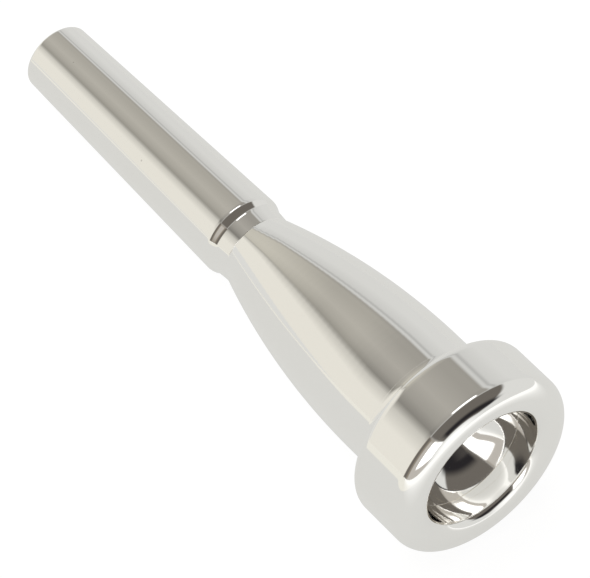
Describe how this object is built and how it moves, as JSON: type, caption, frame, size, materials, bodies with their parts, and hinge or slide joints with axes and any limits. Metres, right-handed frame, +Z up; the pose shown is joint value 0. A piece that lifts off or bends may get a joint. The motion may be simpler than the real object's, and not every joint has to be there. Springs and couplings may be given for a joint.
{
  "type": "trumpet mouthpiece",
  "caption": "Silver-plated brass trumpet mouthpiece with a tapered shank, swelling cup body and thick collared rim; rim and shank unscrew from the body.",
  "frame": {"origin": "centre of the shank's small end, on the air column's axis", "axes": "+X along the air column from the shank's small end to the rim, +Z up, the mouthpiece lying on its side"},
  "size_m": [0.088, 0.0266, 0.0266],
  "materials": {
    "silver_plate": "brass with polished silver plate"
  },
  "bodies": {
    "cup": {"cup_body": "silver_plate"},
    "rim": {"rim": "silver_plate"},
    "shank": {"shank": "silver_plate"}
  },
  "joints": [
    {"name": "rim_unscrew", "type": "slide", "parent": "cup", "child": "rim", "axis": [1, 0, 0], "range_m": [0, 0.03]},
    {"name": "shank_unscrew", "type": "slide", "parent": "cup", "child": "shank", "axis": [-1, 0, 0], "range_m": [0, 0.03]}
  ]
}
